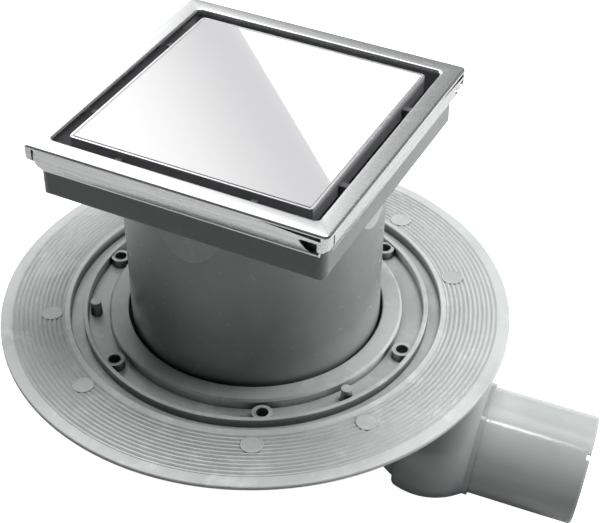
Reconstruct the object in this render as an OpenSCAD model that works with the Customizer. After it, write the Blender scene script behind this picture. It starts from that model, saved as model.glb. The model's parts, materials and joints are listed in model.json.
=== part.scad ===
// Floor gully trap, DN50: moulded drain body with a membrane flange, telescopic
// extension piece with a square stainless frame and a tile tray, lift-out odour
// trap, and a pipe outlet on a ball joint. Millimetres, +Z up. The origin is on
// the drain axis at the underside of the pot, and the branch leaves along +X.

/* [Drain body] */
// Outside diameter of the membrane flange
flange_d = 235; // [228:1:250]
// Thickness of the flange plate
flange_t = 2.6; // [2.2:0.1:3.2]
// Height of the flange face above the underside of the pot
flange_h = 75; // [75:1:95]
// Wall thickness of the moulded body
body_wall = 2; // [1.6:0.1:2.2]
// Gap between the stem and the wall of the pot
pot_gap = 2.4; // [2:0.1:3.5]
// How far the pot draws in to its flat underside
pot_draw_in = 12.9; // [9:0.1:16]
// Height of the tapered lower part of the pot
pot_taper_h = 24; // [18:1:24]

/* [Flange face] */
// Width of the inner trough, which holds the bosses
trough_w = 9.9; // [9.6:0.1:12]
// Depth of the inner trough
trough_depth = 5; // [4.6:0.1:5.4]
// Thickness of the ring rib between trough and channel
ring_rib_t = 2.1; // [1.5:0.1:2.6]
// Width of the outer channel
channel_w = 5.8; // [5:0.1:8]
// Depth of the outer channel
channel_depth = 4.3; // [3.5:0.1:4.5]
// Rise of the lip round the recess
lip_rise = 0.7; // [0.3:0.1:1.2]
// Width of the smooth rim outside the grooves
rim_w = 6.2; // [4:0.2:9]
// Fall of the smooth rim towards the edge
rim_fall = 0.5; // [0.2:0.1:0.8]
// Pitch of the bonding grooves
groove_pitch = 2.1; // [1.8:0.05:2.2]
// Width of a bonding groove
groove_w = 1.1; // [0.8:0.1:1.5]
// Depth of a bonding groove
groove_depth = 0.5; // [0.3:0.1:1]
// Diameter of the round ejector marks
ejector_d = 10; // [7:0.5:11]

/* [Fixings in the trough] */
// Distance of the bosses and the pegs from the edge of the retaining ring
boss_offset = 6.2; // [5.6:0.1:6.6]
// Number of screw bosses
boss_count = 6; // [4:1:8]
// Outside diameter of a screw boss
boss_d = 9; // [8:0.5:9.5]
// Bore of a screw boss
boss_bore_d = 5.5; // [4:0.5:6]
// Height of a screw boss above the trough floor
boss_rise = 4.1; // [3:0.1:6]
// Thickness under the bore of a screw boss
boss_floor = 1.6; // [1.2:0.1:1.8]
// Depth of the bore of a screw boss
boss_bore_depth = 6.5; // [5:0.1:6.6]
// Diameter of a locating peg
peg_d = 5.5; // [4:0.5:6]
// Height of a locating peg above the trough floor
peg_rise = 7; // [4:0.5:9]

/* [Stem seal] */
// Width of the retaining ring's face
retainer_w = 9; // [8.4:0.1:9.2]
// Height of the lip seal
seal_h = 7; // [6:0.2:7.4]
// Number of sealing lips
lip_count = 2; // [1:1:3]

/* [Extension piece] */
// Outside diameter of the stem where it slides in the seal
stem_d = 115; // [113:0.5:116]
// How far the stem widens towards the head
stem_flare = 1.1; // [0.7:0.1:1.6]
// Wall of the stem
stem_wall = 2.8; // [2.4:0.1:3.2]
// Height of the parallel part of the stem
stem_parallel_h = 53; // [45:1:60]
// Depth of the stem's lower end below the flange face
stem_insertion = 20; // [16:1:24]
// Height of the frame's face above the flange face
head_rise = 107; // [100:1:120]
// How far the square head stands out past the stem
head_overhang = 6.7; // [5:0.1:12]
// Height of the head below the frame's skirt
head_below_skirt = 13; // [10:0.5:16]
// Wall of the head
head_wall = 2.2; // [1.8:0.1:2.4]
// Corner radius of the head
head_corner_r = 5; // [4:0.5:7]
// Depth of the sloping flats at their top
flat_depth = 3.2; // [2:0.1:3.4]
// Height of the sloping flats
flat_h = 21; // [14:1:28]

/* [Frame] */
// How far the frame stands out past the head
frame_overhang = 3.7; // [3:0.1:6]
// Sheet thickness of the frame
sheet_t = 0.9; // [0.6:0.1:1]
// Width of the frame's flat face
frame_face_w = 8.5; // [7.5:0.1:8.5]
// Height of the skirt
skirt_h = 12.5; // [11:0.5:15]
// Straight height at the top of the skirt
skirt_straight_h = 5; // [3:0.5:5]
// Radius of the hem under the skirt
hem_r = 0.9; // [0.7:0.1:1.1]
// Radius of the folds
fold_r = 1.2; // [1.1:0.1:2]
// Radius of the frame's outer corners
frame_corner_r = 2.5; // [2:0.1:5]
// Radius of the slot's outer corners
slot_corner_r = 2; // [1:0.1:5]
// Height of the frame's inner fold
inner_fold_h = 2; // [1.6:0.1:3]
// Width of the ear at each corner
ear_w = 4.2; // [3.6:0.2:6]
// Height of the ear at each corner
ear_h = 7; // [5:0.5:9]
// Length of the slit between face and skirt at a skirt's free end
slit_l = 26; // [14:1:40]
// Length of the window in a skirt's free end
window_l = 8.5; // [5:0.5:14]

/* [Tray and tile] */
// Width of the inlet slot round the tray
slot_w = 5.1; // [4.4:0.1:6]
// Depth of the tile tray
tray_depth = 9; // [8:0.5:10]
// Corner radius of the tray
tray_corner_r = 1.8; // [1.5:0.1:4]
// Height of the liner round the slot
liner_h = 11; // [8:0.5:12]
// Gap between the tile and the tray
tile_gap = 0.2; // [0.1:0.05:0.8]
// Distance of the tile's face below the frame's face
tile_drop = 0.3; // [0.1:0.1:1]
// Distance of a spacer from the middle of its side
spacer_offset = 31; // [10:1:40]
// Width of a spacer
spacer_w = 3; // [2:0.5:5]

/* [Odour trap] */
// Depth of the water seal
water_seal = 50; // [40:1:52]
// Bore of the immersion tube
dip_tube_d = 48; // [40:1:52]
// Wall of the trap's parts
trap_wall = 2; // [1.6:0.1:2.4]
// Outside diameter of the cup
cup_d = 85; // [80:1:88]
// Gap under the immersion tube
dip_gap = 8; // [6:0.5:10]
// Gap between the cup's rim and the collar
spill_gap = 12; // [10:0.5:14]
// Height of the funnel's collar
collar_h = 7; // [6:0.5:9]
// Cord diameter of the trap's O-ring
trap_ring_d = 3.4; // [3:0.1:3.6]
// Number of clips that hold the cup
clip_count = 3; // [2:1:4]

/* [Hair strainer] */
// Depth of the strainer's basket
basket_depth = 9; // [6:0.5:12]
// Number of rings of holes in the strainer
strainer_rings = 3; // [2:1:4]
// Diameter of a hole in the strainer
strainer_hole_d = 4.6; // [3:0.2:5]

/* [Outlet] */
// Gap between the bell and the underside of the flange
bell_clear = 0.5; // [0.3:0.1:2]
// Distance of the ball's centre from the wall of the pot
neck_l = 30.6; // [30:0.2:34]
// Outside diameter of the outlet pipe
pipe_d = 50; // [48:0.5:50]
// Wall of the outlet pipe
pipe_wall = 1.8; // [1.8:0.1:2.6]
// Distance of the pipe's end from the ball's centre
pipe_reach = 70.5; // [55:0.5:90]
// Outside diameter of the bell that snaps over the ball
bell_d = 66.4; // [65.4:0.1:66.6]
// Wall of the bell
bell_wall = 2.2; // [2:0.1:2.4]
// Distance of the bell's mouth behind the ball's centre
bell_mouth = 11.5; // [9:0.5:13]
// Outside diameter of the branch's neck
neck_d = 46; // [43:0.5:47]
// Cord diameter of the ball's O-ring
ball_ring_d = 3.8; // [3.4:0.1:4.2]
// Swing of the pipe to the side of the branch's axis, in degrees
outlet_swing = 8.7; // [-12:0.1:12]
// Droop of the pipe below the branch's axis, in degrees
outlet_droop = 5.6; // [-8:0.1:8]

/* [Fits] */
// Radial clearance between a sliding part and its guide
slide_gap = 0.1; // [0.05:0.05:0.3]
// Gap between parts that are laid or pushed together
seat_gap = 0.1; // [0.05:0.05:0.2]
// Radial gap round the trap's collar and the strainer
insert_gap = 0.4; // [0.2:0.1:0.6]
// Radial gap between the stem and the retaining ring
stem_gap = 1.3; // [0.8:0.1:1.8]
// Gap between the ball and the bell
ball_gap = 0.6; // [0.4:0.1:0.8]

/* [Hidden] */

PP_GREY = "#a9aeac";
PP_DARK = "#6f7473";
STEEL = "#d3d5d6";
TILE_WHITE = "#f1f1f1";
RUBBER = "#26282a";

cut = 1;                 // how far a cutter runs past what it cuts
fine = 96;               // segments of round parts
small = 32;              // segments of small round parts
round_ball = 64;         // segments of the ball and its bell
edge = 0.4;              // small broken edge on moulded parts

// --- drain body, worked out from the inside out
stem_r = stem_d / 2;
flange_r = flange_d / 2;
flange_under = flange_h - flange_t;
channel_z = flange_h - channel_depth;
trough_z = flange_h - trough_depth;
retainer_in_r = stem_r + stem_gap;
retainer_out_r = retainer_in_r + retainer_w;
ring_in_r = retainer_out_r + trough_w;
ring_out_r = ring_in_r + ring_rib_t;
recess_r = ring_out_r + channel_w;
socket_lap = 1.6;        // overlap of the retaining ring on the trough floor
socket_r = retainer_out_r - socket_lap;
retainer_skirt = 1.2;    // how far the retaining ring reaches into its socket
seal_top = trough_z - retainer_skirt - seat_gap;
seal_bottom = seal_top - seal_h;
seat_z = seal_bottom - seat_gap;
pot_in_r = stem_r + pot_gap;
pot_r = pot_in_r + body_wall;
foot_r = pot_r - pot_draw_in;
foot_in_r = foot_r - body_wall;
floor_t = body_wall + 0.5;
lip_w = 2.4;             // width of the sloping lip round the recess
groove_out_r = flange_r - rim_w - groove_w / 2;
groove_room = groove_out_r - groove_w / 2 - recess_r - lip_w;
groove_count = floor(groove_room / groove_pitch) + 1;
boss_circle_r = retainer_out_r + boss_offset;
boss_top = trough_z + boss_rise;
boss_bottom = boss_top - boss_bore_depth - boss_floor;
peg_angles = [90, 210, 330];
ejector_angles = [37, 68, 213, 245, 297, 328];
ejector_r = recess_r + 8.4;
ejector_rise = 0.15;
gusset_t = 1.8;
gusset_angles = [60, 90, 120, 150, 180, 210, 240, 270, 300];

// --- branch and ball joint
bell_r = bell_d / 2;
ball_x = pot_r + neck_l;
outlet_z = channel_z - body_wall - bell_clear - bell_r;
bell_in_r = bell_r - bell_wall;
ball_r = bell_in_r - ball_gap;
pipe_r = pipe_d / 2;
pipe_in_r = pipe_r - pipe_wall;
neck_r = neck_d / 2;
neck_in_r = neck_r - 2.5;
ball_front = 9;          // the ball is cut off this far in front of its centre
ball_flare_r = ball_r - 5;
ring_groove_w = ball_ring_d + 0.6;
ball_ring_r = bell_in_r - seat_gap - ball_ring_d / 2;
ring_groove_r = ball_ring_r - ball_ring_d / 2 - seat_gap;
collar_r = pipe_r + 1.3; // lip at the end of the bell
collar_end = sqrt(pow(bell_r, 2) - pow(collar_r, 2)) + 2.3;
notch_w = 2.6;
notch_depth = 1.8;
notch_angle = 31;        // round the pipe from its top towards -Y

// --- extension piece and what it carries
face_z = flange_h + head_rise;
head_top = face_z - sheet_t - seat_gap;
head_bottom = face_z - skirt_h - head_below_skirt;
head_half = stem_r + stem_flare + head_overhang;
head_floor_t = 2.6;
head_floor = head_bottom + head_floor_t;
stem_low = flange_h - stem_insertion;
stem_top_r = stem_r + stem_flare;
stem_bore_r = stem_r - stem_wall;
flat_wall = 1.6;         // least wall left behind a sloping flat
upper_bore_r = stem_top_r - flat_depth - flat_wall;
flat_tilt = atan(flat_depth / flat_h);

frame_half = head_half + frame_overhang;
frame_in_half = frame_half - frame_face_w;
curve_drop = skirt_h - hem_r / 2 - skirt_straight_h;
curve_in = frame_overhang - 1.5 * hem_r - seat_gap / 2;
skirt_curve_r = (pow(curve_drop, 2) + pow(curve_in, 2)) / (2 * curve_in);
curve_angle = asin(curve_drop / skirt_curve_r);
hem_u = frame_half - curve_in - hem_r / 2;
notch_gap = 1.2;         // gap between an ear and the skirt beside it

tray_half = frame_in_half - slot_w;
tray_bottom = face_z - tile_drop - tray_depth;
tile_half = tray_half - sheet_t - tile_gap;
tile_top = face_z - tile_drop;
tile_bottom = tray_bottom + sheet_t;
tile_corner_r = tray_corner_r - sheet_t;
post_t = 2.4;
post_l = 10;
post_half = tray_half - 3;

// --- trap, hung in the stem
dip_in_r = dip_tube_d / 2;
dip_out_r = dip_in_r + trap_wall;
cup_r = cup_d / 2;
cup_in_r = cup_r - trap_wall;
cup_floor_z = stem_low + 1;
cup_floor_top = cup_floor_z + trap_wall;
dip_bottom = cup_floor_top + dip_gap;
cup_rim_z = dip_bottom + water_seal;
shoulder_z = cup_rim_z + spill_gap;
shoulder_h = 3;
shoulder_in_r = upper_bore_r - 2.3;
collar_out_r = upper_bore_r - insert_gap;
collar_in_r = collar_out_r - 5;
collar_top = shoulder_z + collar_h;
trap_ring_r = upper_bore_r - seat_gap - trap_ring_d / 2;
trap_groove_r = trap_ring_r - trap_ring_d / 2 - seat_gap;
trap_groove_h = trap_ring_d + 0.4;
trap_groove_z = shoulder_z + collar_h / 2;
funnel_drop = 17;        // fall of the funnel from its collar to the tube
bead_h = 3;
bead_out_r = cup_r + 1;
clip_in_r = bead_out_r + insert_gap / 2;
clip_out_r = clip_in_r + 2;
clip_catch = 2.6;        // height of the catch under the cup's bead
clip_span = 24;          // angle that a clip spans
strainer_r = upper_bore_r - insert_gap;

// ------------------------------------------------------------------ helpers
module rounded_square(half, r) {
    square([2 * half, 2 * (half - r)], center = true);
    square([2 * (half - r), 2 * half], center = true);
    for (x = [-1, 1], y = [-1, 1])
        translate([x * (half - r), y * (half - r)]) circle(r = r, $fn = small);
}

// Quarter of a ring in the plane, from angle 0 to -span or +span
module ring_arc(r_out, r_in, span) {
    reach = 2 * r_out;
    intersection() {
        difference() {
            circle(r = r_out, $fn = fine);
            circle(r = r_in, $fn = fine);
        }
        polygon([[0, 0], [reach, 0], [reach * cos(span / 2), reach * sin(span / 2)],
                 [reach * cos(span), reach * sin(span)]]);
    }
}

// A folded edge: the section given as children, in (distance from the axis, height),
// runs along four sides and round four corners of radius r. What reaches further in than
// a corner's centre is left out of that corner.
module round_the_square(half, r) {
    corner = half - r;
    for (turn = [0:90:270]) rotate([0, 0, turn]) {
        rotate([90, 0, 0])
            linear_extrude(height = 2 * corner, center = true) children();
        translate([corner, corner, 0]) rotate_extrude(angle = 90, $fn = fine)
            intersection() {
                translate([-corner, 0]) children();
                translate([edge / 4, -half]) square(2 * half);
            }
    }
}

// Children are placed on the branch's axis with the ball's centre at the origin
module on_branch() translate([ball_x, 0, outlet_z]) children();

// Children are placed in the frame of the swivelled outlet pipe
module on_outlet() on_branch() rotate([0, outlet_droop, outlet_swing]) children();

module along_x() rotate([0, 90, 0]) children();

// --------------------------------------------------------------- drain body
body_outline = concat(
    [[0, 0], [foot_r - 3, 0], [foot_r, 1.5],
     [pot_r, pot_taper_h], [pot_r, seat_z - body_wall - 4],
     [socket_r + body_wall, seat_z - body_wall],
     [socket_r + body_wall, trough_z - body_wall],
     [ring_in_r, trough_z - body_wall],
     [ring_out_r, channel_z - body_wall],
     [recess_r + body_wall, channel_z - body_wall],
     [recess_r + body_wall, flange_under],
     [flange_r - edge, flange_under], [flange_r, flange_under + edge],
     [flange_r, flange_h - rim_fall - edge], [flange_r - edge, flange_h - rim_fall],
     [groove_out_r + groove_w, flange_h]],
    [for (i = [0:groove_count - 1], p = [[0.5, 0], [0.12, -1], [-0.12, -1], [-0.5, 0]])
        [groove_out_r - i * groove_pitch + p[0] * groove_w, flange_h + p[1] * groove_depth]],
    [[recess_r + lip_w, flange_h], [recess_r + edge, flange_h + lip_rise],
     [recess_r, flange_h + lip_rise - edge], [recess_r, channel_z],
     [ring_out_r, channel_z], [ring_out_r, flange_h - edge / 2],
     [ring_out_r - edge / 2, flange_h], [ring_in_r + edge / 2, flange_h],
     [ring_in_r, flange_h - edge / 2], [ring_in_r, trough_z],
     [socket_r, trough_z], [socket_r, seat_z], [pot_in_r, seat_z],
     [pot_in_r, pot_taper_h + body_wall / 2], [foot_in_r, floor_t], [0, floor_t]]
);

module bosses() {
    for (i = [0:boss_count - 1]) rotate([0, 0, i * 360 / boss_count])
        translate([boss_circle_r, 0, boss_bottom])
            cylinder(d = boss_d, h = boss_top - boss_bottom, $fn = small);
    for (a = peg_angles) rotate([0, 0, a]) translate([boss_circle_r, 0, trough_z - edge])
        cylinder(d1 = peg_d, d2 = peg_d - 0.6, h = peg_rise + edge, $fn = small);
}

module boss_bores()
    for (i = [0:boss_count - 1]) rotate([0, 0, i * 360 / boss_count])
        translate([boss_circle_r, 0, boss_top - boss_bore_depth])
            cylinder(d = boss_bore_d, h = boss_bore_depth + cut, $fn = small);

module ejector_marks()
    for (a = ejector_angles) rotate([0, 0, a])
        translate([ejector_r, 0, flange_h - groove_depth - edge])
            cylinder(d = ejector_d, h = groove_depth + edge + ejector_rise, $fn = small);

module gussets()
    for (a = gusset_angles) rotate([90, 0, a])
        translate([0, 0, -gusset_t / 2]) linear_extrude(height = gusset_t)
            polygon([[pot_r - body_wall / 2, pot_taper_h + 6],
                     [recess_r + 8, flange_under + edge / 2],
                     [recess_r + body_wall / 2, flange_under + edge / 2],
                     [recess_r + body_wall / 2, channel_z - body_wall / 2],
                     [ring_in_r - body_wall / 2, channel_z - body_wall],
                     [socket_r + body_wall / 2, trough_z - body_wall],
                     [socket_r + body_wall / 2, seat_z - body_wall / 2],
                     [pot_r - body_wall / 2, seat_z - body_wall - 3]]);

// Neck of the branch, which passes through a round port in the pot's wall
module branch_neck() along_x() translate([0, 0, foot_in_r - ball_x])
    cylinder(r = neck_r, h = ball_x - foot_in_r, $fn = fine);

module branch_outside() {
    branch_neck();
    intersection() {
        sphere(r = ball_r, $fn = round_ball);
        translate([-ball_r, -ball_r, -ball_r]) cube([ball_r + ball_front, 2 * ball_r, 2 * ball_r]);
    }
}

module branch_inside() {
    along_x() translate([0, 0, foot_in_r - ball_x])
        cylinder(r = neck_in_r, h = ball_x - foot_in_r + ball_front + cut, $fn = fine);
    along_x() translate([0, 0, -6])
        cylinder(r1 = neck_in_r, r2 = ball_flare_r, h = ball_front + 6, $fn = fine);
    along_x() difference() {
        translate([0, 0, -ring_groove_w / 2])
            cylinder(r = ball_r + cut, h = ring_groove_w, $fn = fine);
        translate([0, 0, -ring_groove_w / 2 - cut])
            cylinder(r = ring_groove_r, h = ring_groove_w + 2 * cut, $fn = fine);
    }
}

module drain_body() color(PP_GREY) difference() {
    union() {
        rotate_extrude($fn = fine) polygon(body_outline);
        bosses();
        ejector_marks();
        gussets();
    }
    boss_bores();
    on_branch() branch_neck();
}

// Neck and ball, welded into the pot's port with the inner end flush with the wall
module outlet_branch() color(PP_GREY) difference() {
    on_branch() branch_outside();
    on_branch() branch_inside();
    rotate_extrude($fn = fine) polygon([
        [0, floor_t], [foot_in_r, floor_t], [pot_in_r, pot_taper_h + body_wall / 2],
        [pot_in_r, seat_z], [0, seat_z]]);
}

// Ring that closes the seal's socket and forms the raised plateau round the stem
module seal_retainer() color(PP_GREY) rotate_extrude($fn = fine) difference() {
    polygon([[retainer_in_r, trough_z], [retainer_in_r, flange_h - edge],
             [retainer_in_r + edge, flange_h], [retainer_out_r - 1, flange_h],
             [retainer_out_r, flange_h - 1], [retainer_out_r, trough_z + seat_gap / 2],
             [socket_r - seat_gap, trough_z + seat_gap / 2],
             [socket_r - seat_gap, trough_z - retainer_skirt],
             [socket_r - 2, trough_z - retainer_skirt], [socket_r - 2, trough_z]]);
    translate([retainer_in_r + 1.8, trough_z - retainer_skirt - cut])
        square([socket_r - 2 - retainer_in_r - 1.8, trough_depth - 2 + retainer_skirt + cut]);
}

// Lip seal between the drain body and the stem
lip_pitch = (seal_h - 1) / lip_count;
lip_root_r = socket_r - 4.6;
module stem_seal() color(RUBBER) rotate_extrude($fn = fine) polygon(concat(
    [[socket_r - seat_gap, seal_bottom], [socket_r - seat_gap, seal_top],
     [lip_root_r, seal_top]],
    [for (i = [0:lip_count - 1], p = [[0, 0.5], [1, 1.6], [1, 2.1], [0, 2.1]])
        [p[0] == 0 ? lip_root_r : stem_r + slide_gap, seal_top - i * lip_pitch - p[1]]],
    [[lip_root_r, seal_bottom]]));

// ---------------------------------------------------------- extension piece
stem_outline = [
    [stem_r - 1.2, stem_low], [stem_r, stem_low + 3],
    [stem_r, stem_low + stem_parallel_h], [stem_top_r, head_bottom + 1],
    [stem_top_r, head_floor - edge], [upper_bore_r, head_floor - edge],
    [upper_bore_r, shoulder_z], [shoulder_in_r, shoulder_z],
    [shoulder_in_r, shoulder_z - shoulder_h],
    [stem_bore_r, shoulder_z - shoulder_h - (stem_bore_r - shoulder_in_r)],
    [stem_bore_r, stem_low]
];

// Half-space outside a sloping flat, one on each side of the stem
module flat_cutters()
    for (turn = [0:90:270]) rotate([0, 0, turn])
        translate([stem_top_r - flat_depth, 0, head_bottom]) rotate([0, -flat_tilt, 0])
            translate([0, -stem_r, -flat_h * 1.6]) cube([20, 2 * stem_r, flat_h * 1.6]);

// The square head: side walls with a rounded lower edge
module head_shell() {
    difference() {
        intersection() {
            translate([0, 0, head_bottom]) linear_extrude(height = head_top - head_bottom)
                rounded_square(head_half, head_corner_r);
            for_both_ways() translate([0, head_bottom]) head_side_profile();
        }
        translate([0, 0, head_floor]) linear_extrude(height = head_top)
            rounded_square(head_half - head_wall, head_corner_r - head_wall);
        translate([0, 0, head_bottom - cut])
            cylinder(r = upper_bore_r, h = head_floor_t + 2 * cut, $fn = fine);
    }
}

// The same profile extruded along X and along Y, intersected
module for_both_ways() intersection() {
    rotate([90, 0, 0]) linear_extrude(height = 4 * head_half, center = true) children();
    rotate([90, 0, 90]) linear_extrude(height = 4 * head_half, center = true) children();
}

module head_side_profile() {
    round_r = 1.8;
    h = head_top - head_bottom + cut;
    translate([-head_half, round_r]) square([2 * head_half, h - round_r]);
    translate([-head_half + round_r, 0]) square([2 * (head_half - round_r), h]);
    for (x = [-1, 1]) translate([x * (head_half - round_r), round_r])
        circle(r = round_r, $fn = small);
}

// Angle posts in the head's corners that carry the tray
module tray_posts()
    for (turn = [0:90:270]) rotate([0, 0, turn])
        translate([post_half - post_l, post_half - post_l, head_floor - edge]) {
            h = tray_bottom - seat_gap - head_floor + edge;
            translate([post_l - post_t, 0, 0]) cube([post_t, post_l, h]);
            translate([0, post_l - post_t, 0]) cube([post_l, post_t, h]);
        }

module extension_piece() color(PP_GREY) {
    difference() {
        rotate_extrude($fn = fine) polygon(stem_outline);
        flat_cutters();
    }
    head_shell();
    tray_posts();
}

// -------------------------------------------------------------- steel frame
module skirt_section() {
    translate([frame_half - fold_r, -fold_r]) ring_arc(fold_r, fold_r - sheet_t, 90);
    translate([frame_half - sheet_t, -skirt_straight_h])
        square([sheet_t, skirt_straight_h - fold_r]);
    translate([frame_half - skirt_curve_r, -skirt_straight_h])
        ring_arc(skirt_curve_r, skirt_curve_r - sheet_t, -curve_angle);
    translate([hem_u, -skirt_h + hem_r]) circle(r = hem_r, $fn = small);
}

module inner_fold_section() {
    translate([frame_in_half + fold_r, -fold_r]) rotate([0, 0, 90])
        ring_arc(fold_r, fold_r - sheet_t, 90);
    translate([frame_in_half, -inner_fold_h]) square([sheet_t, inner_fold_h - fold_r]);
}

// Cuts in each side's skirt, seen square on: a notch beside the ear at one end, and a
// slit that widens into a window at the other, with the hem running on below it
module skirt_cutters() {
    ear = frame_half - ear_w;
    below = -skirt_h - cut;
    for (turn = [0:90:270]) rotate([0, 0, turn])
        translate([0, 5 - frame_half, 0]) rotate([90, 0, 0]) linear_extrude(height = 8) {
            polygon([[-ear, -fold_r - 0.4], [notch_gap - ear, -fold_r - 0.4],
                     [notch_gap - ear, 4 - skirt_h], [notch_gap - ear + 1, 1.6 - skirt_h],
                     [notch_gap - ear + 3, below], [-frame_half - cut, below],
                     [-frame_half - cut, -ear_h], [-ear, -ear_h]]);
            polygon([[ear + 0.8 - slit_l, -fold_r - 0.2], [ear + 0.8, -fold_r - 0.2],
                     [ear + 0.8, -fold_r - 1.9], [ear - window_l, -fold_r - 1.4]]);
            polygon([[ear - window_l, -fold_r - 3.8], [ear - window_l + 1, -fold_r - 3.2],
                     [ear + 0.8, -fold_r - 3.2], [ear + 0.8, 2.1 - skirt_h],
                     [ear - window_l + 4, 2.1 - skirt_h]]);
        }
}

// Rolled tab behind each ear, seen through the window
curl_r = 2.1;
module corner_curls() {
    at = frame_half - ear_w;
    for (turn = [0:90:270]) rotate([0, 0, turn])
        translate([at - 0.2, -at - 1.3, -ear_h - 2]) difference() {
            cylinder(r = curl_r, h = ear_h - fold_r - 0.6, $fn = small);
            translate([0, 0, -cut]) cylinder(r = curl_r - 0.7, h = ear_h + cut, $fn = small);
        }
}

module steel_frame() color(STEEL) translate([0, 0, face_z]) {
    translate([0, 0, -sheet_t]) linear_extrude(height = sheet_t) difference() {
        rounded_square(frame_half - fold_r, frame_corner_r - fold_r);
        rounded_square(frame_in_half + fold_r, slot_corner_r + fold_r);
    }
    difference() {
        round_the_square(frame_half, frame_corner_r) skirt_section();
        skirt_cutters();
    }
    round_the_square(frame_in_half, slot_corner_r) inner_fold_section();
    corner_curls();
}

// -------------------------------------------------------- tray, tile, spacers
tray_fold_r = 1.2;
module tray_section() {
    translate([tray_half - tray_fold_r, tray_fold_r])
        ring_arc(tray_fold_r, tray_fold_r - sheet_t, -90);
    translate([tray_half - sheet_t, tray_fold_r]) square([sheet_t, tray_depth - tray_fold_r]);
}

module tile_tray() color(STEEL) translate([0, 0, tray_bottom]) {
    linear_extrude(height = sheet_t)
        rounded_square(tray_half - tray_fold_r, tray_corner_r - tray_fold_r);
    round_the_square(tray_half, tray_corner_r) tray_section();
}

tile_edge = 1.2;         // lower edge of the tile, cut back to clear the tray's fold
module tile_insert() color(TILE_WHITE) {
    translate([0, 0, tile_bottom]) linear_extrude(height = tile_edge + edge)
        rounded_square(tile_half - tile_edge, tile_corner_r);
    translate([0, 0, tile_bottom + tile_edge])
        linear_extrude(height = tile_top - edge - tile_bottom - tile_edge)
            rounded_square(tile_half, tile_corner_r);
    translate([0, 0, tile_top - 2 * edge]) linear_extrude(height = 2 * edge)
        rounded_square(tile_half - edge, tile_corner_r);
}

// Dark liner behind the frame's inner fold
module slot_liner() color(PP_DARK)
    translate([0, 0, face_z - sheet_t - seat_gap - liner_h]) linear_extrude(height = liner_h)
        difference() {
            rounded_square(head_half - head_wall - seat_gap, slot_corner_r + sheet_t + 1.6);
            rounded_square(frame_in_half + sheet_t + seat_gap, slot_corner_r + sheet_t + seat_gap);
        }

// Small spacers in the slot that centre the tray, two to a side
spacer_h = 4;
module tray_spacers() color(PP_DARK)
    for (turn = [0:90:270], side = [-1, 1]) rotate([0, 0, turn])
        translate([tray_half, side * spacer_offset - spacer_w / 2, tile_top - 3 - spacer_h])
            cube([slot_w - insert_gap, spacer_w, spacer_h]);

// ------------------------------------------------------------ hair strainer
strainer_rim = 2.4;
strainer_t = 1.8;
strainer_pitch = (strainer_r - 10) / (strainer_rings + 0.5);
module hair_strainer() color(PP_DARK) {
    top = head_floor + seat_gap;
    floor_z = top - basket_depth;
    difference() {
        union() {
            translate([0, 0, top])
                cylinder(r = strainer_r + strainer_rim, h = strainer_t, $fn = fine);
            translate([0, 0, floor_z])
                cylinder(r1 = strainer_r - 2, r2 = strainer_r, h = basket_depth + edge, $fn = fine);
        }
        translate([0, 0, floor_z + strainer_t])
            cylinder(r1 = strainer_r - 2 - strainer_t, r2 = strainer_r - strainer_t,
                     h = basket_depth + strainer_t, $fn = fine);
        for (ring = [1:strainer_rings], k = [0:6 * ring + 5])
            rotate([0, 0, k * 360 / (6 * ring + 6)])
                translate([4 + ring * strainer_pitch, 0, floor_z - cut])
                    cylinder(d = strainer_hole_d, h = strainer_t + 2 * cut, $fn = small);
    }
    translate([0, 0, floor_z + edge]) {
        cylinder(r1 = 4, r2 = 3, h = basket_depth - 2, $fn = small);
        translate([0, 0, basket_depth - 2 - edge]) cylinder(r = 5, h = 2, $fn = small);
    }
}

// --------------------------------------------------------------- odour trap
funnel_low = collar_top - 2 - funnel_drop;
dip_top = funnel_low - trap_wall / 2;
funnel_outline = [
    [dip_in_r, dip_top], [dip_out_r, dip_top],
    [collar_in_r - 1, shoulder_z + 0.8], [collar_in_r, shoulder_z], [collar_out_r, shoulder_z],
    [collar_out_r, collar_top - edge], [collar_out_r - edge, collar_top],
    [collar_in_r, collar_top], [collar_in_r, collar_top - 2], [dip_in_r, funnel_low]
];

module clips() {
    low = cup_rim_z - bead_h - clip_catch - seat_gap;
    for (i = [0:clip_count - 1]) rotate([0, 0, i * 360 / clip_count + 90 - clip_span / 2])
        rotate_extrude(angle = clip_span, $fn = fine) polygon([
            [cup_r + seat_gap, low + clip_catch], [clip_in_r, low + clip_catch],
            [clip_in_r, shoulder_z + 1], [clip_out_r, shoulder_z + 1],
            [clip_out_r, low], [clip_in_r, low]]);
}

module trap_funnel() color(PP_DARK) {
    bar_h = 7;
    difference() {
        rotate_extrude($fn = fine) polygon(funnel_outline);
        translate([0, 0, trap_groove_z - trap_groove_h / 2]) difference() {
            cylinder(r = collar_out_r + cut, h = trap_groove_h, $fn = fine);
            translate([0, 0, -cut]) cylinder(r = trap_groove_r, h = trap_groove_h + 2 * cut, $fn = fine);
        }
    }
    clips();
    translate([-collar_in_r - 1, -2, collar_top - bar_h]) cube([2 * collar_in_r + 2, 4, bar_h]);
}

// Immersion tube, joined to the foot of the funnel
module dip_tube() color(PP_DARK) rotate_extrude($fn = fine)
    translate([dip_in_r, dip_bottom]) square([trap_wall, dip_top - dip_bottom]);

module trap_o_ring() color(RUBBER) translate([0, 0, trap_groove_z])
    rotate_extrude($fn = fine) translate([trap_ring_r, 0]) circle(d = trap_ring_d, $fn = small);

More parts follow.
